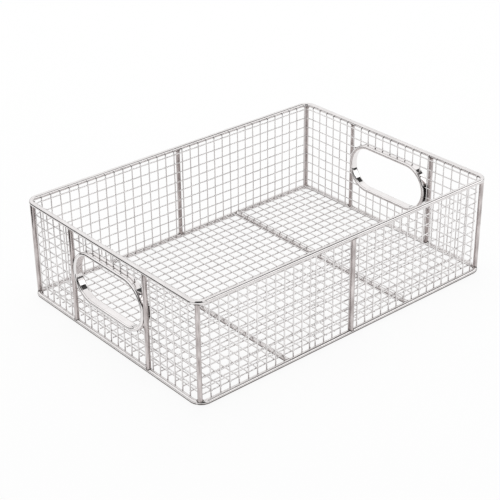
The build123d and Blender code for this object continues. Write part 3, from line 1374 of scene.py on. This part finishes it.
@dataclass
class FloorMesh:
    """The mesh floor that lies on the floor bars: two layers welded where they cross."""

    sizes: BasketSizes
    sides: int = 12
    step: float = 0.005
    end_edge: float = 0.00015
    weld_size: Triple = (0.6 * MM, 0.6 * MM, 0.3 * MM)

    def __post_init__(self) -> None:
        """Lays out how the wires wander."""
        self.sway = WireSway()

    def offsets(self, half_width: float) -> list[float]:
        """Where the wires lie across the floor.

        Args:
            half_width: Half the distance between the rims' centre lines.

        Returns:
            Offsets from the middle, in order.
        """
        size = self.sizes
        edge = size.hoop_inset + size.wire_radius + size.floor_gap
        count = math.floor((half_width - edge - size.wire_radius) / size.floor_pitch + 0.5)
        return [(step + 0.5) * size.floor_pitch for step in range(-count, count)]

    def half_run(self, offset: float, across: float, along: float) -> float:
        """Half the length of one wire, shorter beside a rounded corner.

        Args:
            offset: The wire's distance from the middle.
            across: Half the straight run across the wire.
            along: Half the straight run along the wire.

        Returns:
            Half the wire's length.
        """
        size = self.sizes
        radius = size.rim_corner - size.hoop_inset - size.wire_radius - size.floor_gap
        into = max(abs(offset) + size.wire_reach - across, 0.0)
        return along + math.sqrt(radius**2 - into**2)

    def build(self) -> None:
        """Makes both layers of the floor and their welds."""
        size = self.sizes
        lower = size.floor_bar_top + size.wire_radius
        upper = lower + 2 * size.wire_radius
        rows, columns = self.offsets(size.rim_y), self.offsets(size.rim_x)
        section = round_section(size.wire_radius, self.sides)
        long_mesh, cross_mesh = SweptMesh("floor_long_wires"), SweptMesh("floor_cross_wires")
        for number, y in enumerate(rows):
            x = self._stations(self.half_run(y, size.straight_y, size.straight_x))
            path = np.stack([x, y + self.sway.at(x, number), np.full(len(x), lower)], axis=1)
            long_mesh.sweep(path, (0, 0, 1), section, end_edge=self.end_edge)
        for number, x in enumerate(columns):
            y = self._stations(self.half_run(x, size.straight_x, size.straight_y))
            path = np.stack([x + self.sway.at(y, number), y, np.full(len(y), upper)], axis=1)
            cross_mesh.sweep(path, (0, 0, 1), section, end_edge=self.end_edge)
        place(long_mesh.make(Finish.WIRE.material()), Slot.MESH, "floor_wires_long")
        place(cross_mesh.make(Finish.WIRE.material()), Slot.MESH, "floor_wires_cross")
        welds = SweptMesh("floor_mesh_welds")
        for y, x in product(rows, columns):
            spot = np.array([x, y, (lower + upper) / 2])
            welds.blob(spot, self.weld_size, np.array([1.0, 0.0, 0.0]))
        place(welds.make(Finish.SPOT.material()), Slot.MESH)

    def _stations(self, half: float) -> np.ndarray:
        """Evenly spaced places along a wire."""
        return np.linspace(-half, half, round(2 * half / self.step) + 1)


def studio_piece(
    name: str, finish: str, points: list[Triple], faces: list[tuple[int, ...]]
) -> tuple[bpy.types.Object, bpy.types.NodeTree]:
    """Makes a piece of the studio with an empty material.

    Args:
        name: Name of the piece.
        finish: Name of its material.
        points: Its corners.
        faces: Numbers of each face's corners.

    Returns:
        The piece and its material's tree.
    """
    mesh = bpy.data.meshes.new(name)
    mesh.from_pydata(points, [], faces)
    piece = bpy.data.objects.new(name, mesh)
    bpy.context.scene.collection.objects.link(piece)
    material = bpy.data.materials.new(finish)
    material.use_nodes = True
    material.node_tree.nodes.clear()
    mesh.materials.append(material)
    return piece, material.node_tree


@dataclass(frozen=True)
class Panel:
    """A studio panel that only the polished metal sees."""

    name: str

    def hang(self, points: list[Triple], faces: list[tuple[int, ...]]) -> bpy.types.Node:
        """Makes the panel.

        Args:
            points: Its corners.
            faces: Numbers of each face's corners.

        Returns:
            The emission shader that lights it.
        """
        piece, tree = studio_piece(self.name, self.name, points, faces)
        piece.visible_camera = False
        piece.visible_diffuse = False
        piece.visible_shadow = False
        glow = add_node(tree, "Emission", {})
        add_node(tree, "OutputMaterial", {"Surface": glow.outputs[0]})
        return glow


@dataclass(frozen=True)
class Card(Panel):
    """A flat card that lies just over the floor."""

    reach: tuple[float, float, float, float]  # lowest and highest x, lowest and highest y
    tint: Triple
    lift: float = 0.3 * MM

    def build(self) -> None:
        """Lays the card out."""
        low_x, high_x, low_y, high_y = self.reach
        corners = ((low_x, low_y), (high_x, low_y), (high_x, high_y), (low_x, high_y))
        glow = self.hang([(x, y, self.lift) for x, y in corners], [(0, 1, 2, 3)])
        glow.inputs["Color"].default_value = (*self.tint, 1.0)


@dataclass(frozen=True)
class Flag(Panel):
    """A curved panel round the basket, which gives the metal its dark and pale lines."""

    sides: Pair  # directions in degrees from +X, between which it stands
    rise: Pair  # lowest and highest elevation in degrees
    tones: Pair  # brightness at its lower and upper edge
    radius: float = 3.2
    columns: int = 40
    rows: int = 12

    def build(self) -> None:
        """Stands the flag up and grades its light from its lower to its upper edge."""
        turns = np.radians(np.linspace(*self.sides, self.columns))
        lifts = np.radians(np.linspace(*self.rise, self.rows))
        points = [self._at(turn, lift) for lift in lifts for turn in turns]
        firsts = [
            row * self.columns + column
            for row in range(self.rows - 1)
            for column in range(self.columns - 1)
        ]
        faces = [(k, k + 1, k + 1 + self.columns, k + self.columns) for k in firsts]
        glow = self.hang(points, faces)
        tree = glow.id_data
        grade = {
            "Value": object_place(tree)["Z"],
            "From Min": self.radius * math.sin(lifts[0]),
            "From Max": self.radius * math.sin(lifts[-1]),
            "To Min": self.tones[0],
            "To Max": self.tones[1],
        }
        tone = add_node(tree, "MapRange", grade).outputs["Result"]
        tree.links.new(tone, glow.inputs["Strength"])

    def _at(self, turn: float, lift: float) -> Triple:
        """The point of the flag at a direction and an elevation, both in radians."""
        level = self.radius * math.cos(lift)
        return (level * math.cos(turn), level * math.sin(turn), self.radius * math.sin(lift))


FLAGS = (
    Flag("Dark skirting behind", sides=(-5.0, 115.0), rise=(0.5, 5.0), tones=(0.05, 0.12)),
    Flag("Pale flag behind", sides=(-5.0, 115.0), rise=(5.0, 47.0), tones=(0.95, 1.1)),
    Flag("Dark flag in front", sides=(203.0, 260.0), rise=(0.5, 62.0), tones=(0.01, 0.05)),
    Flag("Dark skirting to the left", sides=(115.0, 205.0), rise=(0.5, 9.0), tones=(0.02, 0.06)),
    Flag("Pale flag to the left", sides=(115.0, 205.0), rise=(9.0, 47.0), tones=(0.95, 1.15)),
    Flag("Dark skirting to the right", sides=(255.0, 355.0), rise=(0.5, 9.0), tones=(0.02, 0.06)),
    Flag("Window to the right", sides=(296.0, 340.0), rise=(9.0, 38.0), tones=(1.2, 1.6)),
    Flag("Dark gap to the right", sides=(285.0, 355.0), rise=(37.0, 56.0), tones=(0.03, 0.08)),
)


@dataclass
class Studio:
    """Plain floor, soft light, panels for the metal and the camera."""

    sizes: BasketSizes
    white: tuple[float, float, float, float] = (1.0, 1.0, 1.0, 1.0)
    floor_half: float = 6.0
    floor_paint: float = 0.9
    floor_glow: float = 0.9  # share of plain white in what is seen of the floor
    room_strength: float = 0.45
    shade: Triple = (0.16, 0.145, 0.14)
    shade_in: float = 3.25 * MM  # from a rim's line towards the basket's middle
    shade_near: float = 4.75 * MM  # out from the front and left rims' lines
    shade_far: float = 3.75 * MM  # out from the back and right rims' lines
    bar_shade: Pair = (4.5 * MM, 4.0 * MM)  # to the left and right of a floor bar's line
    bar_shade_lift: float = 0.4 * MM
    # painted shade: the shaded floor under the basket, as only the metal sees it
    under_basket_shade: Triple = (0.62, 0.585, 0.58)
    dark_card: Triple = (0.03, 0.027, 0.026)
    dark_card_reach: tuple[float, float, float, float] = (-1.6, -0.305, -0.06, 1.8)
    lamp_place: Triple = (0.45, 0.55, 1.9)
    lamp_size: Pair = (2.6, 2.6)
    lamp_watts: float = 38.0
    lens: float = 96.28  # millimetres, on a sensor 36 mm wide
    sensor_width: float = 36.0
    clip: Pair = (0.05, 50.0)
    camera_place: Triple = (-0.72382, -0.83487, 0.63581)
    camera_turn: Triple = (61.44531, 0.45522, -40.67560)  # degrees about X, Y and Z

    def build(self) -> None:
        """Sets up the whole studio."""
        self._floor()
        for panel in (*FLAGS, *self._cards()):
            panel.build()
        self._lamp()
        self._world()
        self._camera()

    def _cards(self) -> tuple[Card, ...]:
        """Lays out the cards on the floor: pale inside the basket, dark beside and under it.

        Returns:
            The cards, in the order in which they are built.
        """
        size = self.sizes
        x, y, end = size.rim_x, size.rim_y, size.length / 2
        into, near, far = self.shade_in, self.shade_near, self.shade_far
        inner_x, inner_y = x - far, y - far
        bar, (left, right) = size.floor_bar_offset, self.bar_shade
        rims = {
            "front": (-end, end, -y - near, -y + into),
            "back": (-end, end, y - into, y + far),
            "left": (-x - near, -x + into, -inner_y, inner_y),
            "right": (x - into, x + far, -inner_y, inner_y),
        }
        bars = {
            "left": (-bar - left, -bar + right, -inner_y, inner_y),
            "right": (bar - left, bar + right, -inner_y, inner_y),
        }
        return (
            # painted shade of the floor under the basket, darker than the white floor
            Card("Painted shade card below", (-inner_x, inner_x, -inner_y, inner_y), self.under_basket_shade),
            Card("Dark card to the left", self.dark_card_reach, self.dark_card),
            *(Card(f"Shade under the {name} rim", rims[name], self.shade) for name in rims),
            *(
                Card(f"Shade under the {name} bar", bars[name], self.shade, self.bar_shade_lift)
                for name in bars
            ),
        )

    @staticmethod
    def _seen_directly(tree: bpy.types.NodeTree) -> bpy.types.NodeSocket:
        """A mask of the rays that should meet a plain white.

        Args:
            tree: Material or world tree.

        Returns:
            1 for camera, glossy and transmission rays.
        """
        path = add_node(tree, "LightPath", {}).outputs
        both = combine(tree, "MAXIMUM", path["Is Camera Ray"], path["Is Glossy Ray"])
        return combine(tree, "MAXIMUM", both, path["Is Transmission Ray"])

    def _floor(self) -> None:
        """A wide pale floor that keeps a faint shadow."""
        half = self.floor_half
        corners = [(-half, -half, 0), (half, -half, 0), (half, half, 0), (-half, half, 0)]
        _, tree = studio_piece("studio_floor", "Pale studio floor", corners, [(0, 1, 2, 3)])
        colour = (self.floor_paint,) * 3 + (1.0,)
        paint = add_node(tree, "BsdfDiffuse", {"Color": colour}).outputs[0]
        glow = add_node(tree, "Emission", {"Color": self.white}).outputs[0]
        weight = combine(tree, "MULTIPLY", self._seen_directly(tree), self.floor_glow)
        mix = add_node(tree, "MixShader", {0: weight, 1: paint, 2: glow}).outputs[0]
        add_node(tree, "OutputMaterial", {"Surface": mix})

    def _lamp(self) -> None:
        """A soft rectangular lamp overhead, which faces the basket and isn't reflected."""
        data = bpy.data.lights.new("Overhead softbox", "AREA")
        data.shape = "RECTANGLE"
        data.size, data.size_y = self.lamp_size
        data.energy = self.lamp_watts
        lamp = bpy.data.objects.new(data.name, data)
        lamp.location = self.lamp_place
        lamp.rotation_euler = (-Vector(self.lamp_place)).to_track_quat("-Z", "Y").to_euler()
        lamp.visible_glossy = False
        bpy.context.scene.collection.objects.link(lamp)

    def _world(self) -> None:
        """A white backdrop that lights the basket at a plain level."""
        world = bpy.data.worlds.new("Studio")
        bpy.context.scene.world = world
        world.use_nodes = True
        tree = world.node_tree
        tree.nodes.clear()
        room, seen = (
            add_node(tree, "Background", {"Color": self.white, "Strength": strength}).outputs[0]
            for strength in (self.room_strength, 1.0)
        )
        mix = add_node(tree, "MixShader", {0: self._seen_directly(tree), 1: room, 2: seen})
        add_node(tree, "OutputWorld", {"Surface": mix.outputs[0]})

    def _camera(self) -> None:
        """A long lens above the left end of the front wall."""
        data = bpy.data.cameras.new("Studio camera")
        data.sensor_width = self.sensor_width
        data.lens = self.lens
        data.clip_start, data.clip_end = self.clip
        camera = bpy.data.objects.new(data.name, data)
        turn = Euler([math.radians(angle) for angle in self.camera_turn]).to_matrix().to_4x4()
        camera.matrix_world = Matrix.Translation(self.camera_place) @ turn
        bpy.context.scene.collection.objects.link(camera)
        bpy.context.scene.camera = camera


def main() -> None:
    """Builds the basket's pieces in order, then the studio."""
    logging.basicConfig(level=logging.INFO, format="%(name)s: %(message)s")
    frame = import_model()
    LOG.info("frame: %d nodes", len(frame["nodes"]))
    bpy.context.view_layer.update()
    sizes = BasketSizes()
    Rims(sizes).build()
    Struts(sizes).build()
    GripRings(sizes).build()
    WallBand(sizes).build()
    FloorMesh(sizes).build()
    Studio(sizes).build()
    bpy.context.scene.view_settings.view_transform = "Standard"


if __name__ == "__main__":
    main()
